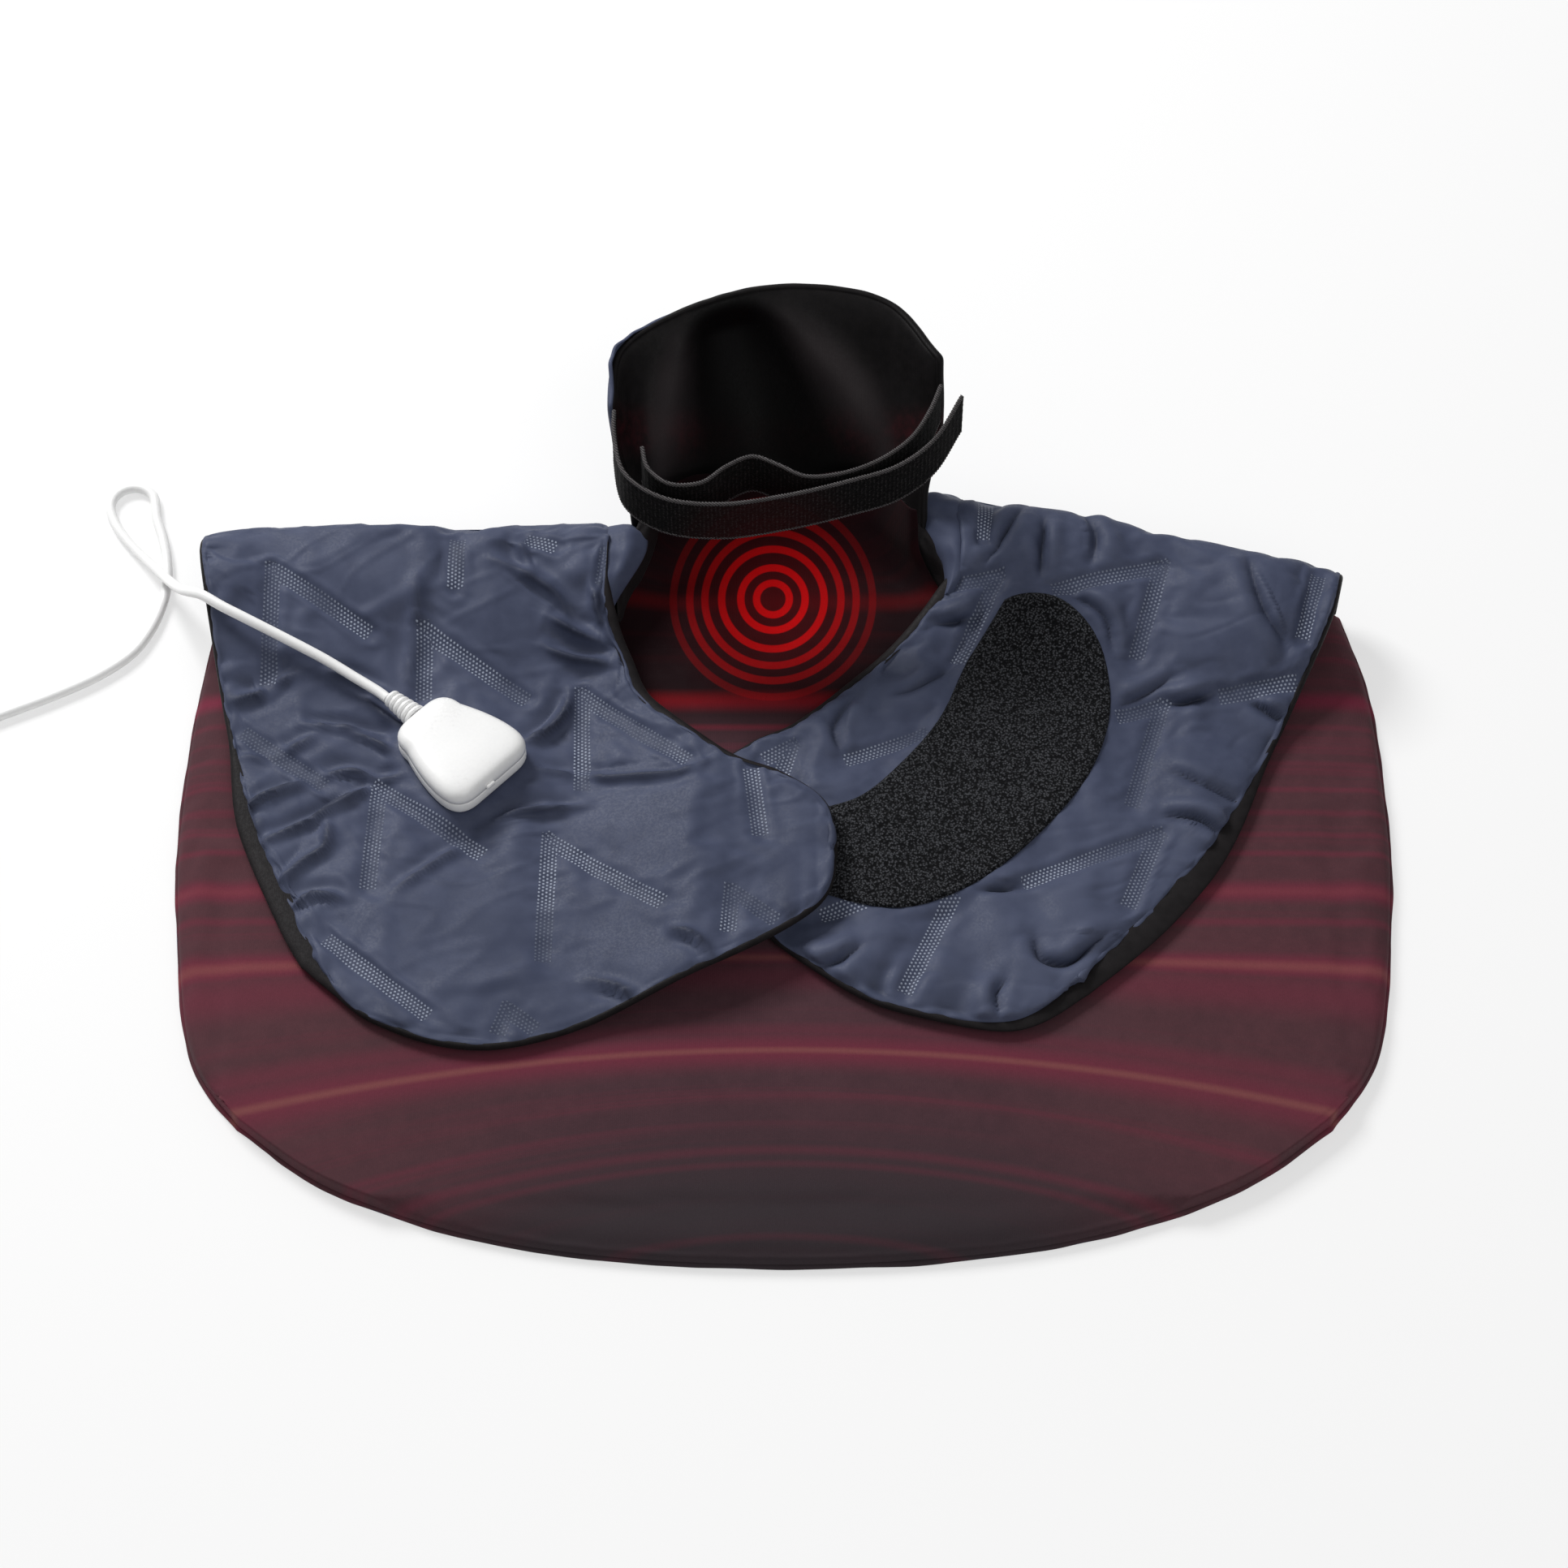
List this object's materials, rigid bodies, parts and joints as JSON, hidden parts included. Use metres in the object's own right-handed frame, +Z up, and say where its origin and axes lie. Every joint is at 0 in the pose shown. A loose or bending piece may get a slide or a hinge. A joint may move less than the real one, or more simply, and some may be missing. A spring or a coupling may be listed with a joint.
{
  "type": "neck heating wrap",
  "caption": "Padded heating wrap for neck, shoulders and back, with folding front flaps, a standing collar closed by a strap, and a cord with a hand controller and plug.",
  "frame": {"origin": "middle of the back panel's underside, on the surface it lies on", "axes": "+X towards the right flap, +Y from the hem towards the collar, +Z up"},
  "size_m": [0.8489, 0.4687, 0.117],
  "materials": {
    "shell_fabric": "satin",
    "maroon_lining": "matte",
    "black_lining": "matte",
    "wadding": "matte",
    "hook_and_loop": "matte",
    "white_plastic": "gloss",
    "white_cord": "satin",
    "window": "gloss",
    "circuit_board": "matte",
    "wire": "satin",
    "steel": "satin"
  },
  "bodies": {
    "back": {"back_shell": "shell_fabric", "back_wadding": "wadding", "back_lining": "maroon_lining", "back_heating_wire": "wire", "cut_out_left": "steel", "cut_out_right": "steel", "collar_shell": "shell_fabric", "collar_wadding": "wadding", "collar_lining": "black_lining", "strap_inner": "hook_and_loop", "control_cord_floor": "white_cord", "control_cord_coil": "white_cord", "control_cord_lead": "white_cord", "control_cord_relief": "white_plastic", "controller_back": "white_plastic", "controller_front": "white_plastic", "controller_board": "circuit_board", "display_window": "window", "controller_screw_1": "steel", "controller_screw_2": "steel", "controller_screw_3": "steel", "controller_screw_4": "steel", "mains_cord_relief": "white_plastic", "mains_cord_lead": "white_cord", "mains_cord_coil": "white_cord", "mains_cord_tail": "white_cord", "plug_relief": "white_plastic", "plug_body": "white_plastic", "plug_blade_left": "steel", "plug_blade_right": "steel"},
    "left_flap": {"left_flap_shell": "shell_fabric", "left_flap_wadding": "wadding", "left_flap_lining": "black_lining", "left_heating_wire": "wire", "hook_patch": "hook_and_loop", "connector_plate": "white_plastic", "connector_base": "white_plastic", "connector_cover": "white_plastic", "connector_relief": "white_plastic", "control_cord_flap": "white_cord"},
    "right_flap": {"right_flap_shell": "shell_fabric", "right_flap_wadding": "wadding", "right_flap_lining": "black_lining", "right_heating_wire": "wire", "loop_patch": "hook_and_loop"},
    "outer_strap": {"strap_outer": "hook_and_loop"},
    "power_button": {"power_button": "white_plastic"},
    "heat_button": {"heat_button": "white_plastic"},
    "timer_button": {"timer_button": "white_plastic"}
  },
  "joints": [
    {"name": "left_flap_fold", "type": "hinge", "parent": "back", "child": "left_flap", "pos_m": [-0.081, 0.181, 0.027], "axis": [-0.9996, -0.0297, 0], "range_deg": [0, 80]},
    {"name": "right_flap_fold", "type": "hinge", "parent": "back", "child": "right_flap", "pos_m": [0.068, 0.203, 0.027], "axis": [-0.9699, 0.2436, 0], "range_deg": [0, 64]},
    {"name": "strap_swing", "type": "hinge", "parent": "back", "child": "outer_strap", "pos_m": [-0.083, 0.2077, 0.091], "axis": [0, 0, -1], "range_deg": [0, 170]},
    {"name": "power_button_press", "type": "slide", "parent": "back", "child": "power_button", "axis": [0, 0, -1], "range_m": [0, 0.001], "stiffness_N_per_m": 400},
    {"name": "heat_button_press", "type": "slide", "parent": "back", "child": "heat_button", "axis": [0, 0, -1], "range_m": [0, 0.001], "stiffness_N_per_m": 400},
    {"name": "timer_button_press", "type": "slide", "parent": "back", "child": "timer_button", "axis": [0, 0, -1], "range_m": [0, 0.001], "stiffness_N_per_m": 400}
  ],
  "couplings": [
    {"joint": "right_flap_fold", "follows": "left_flap_fold", "ratio": 0.8}
  ]
}
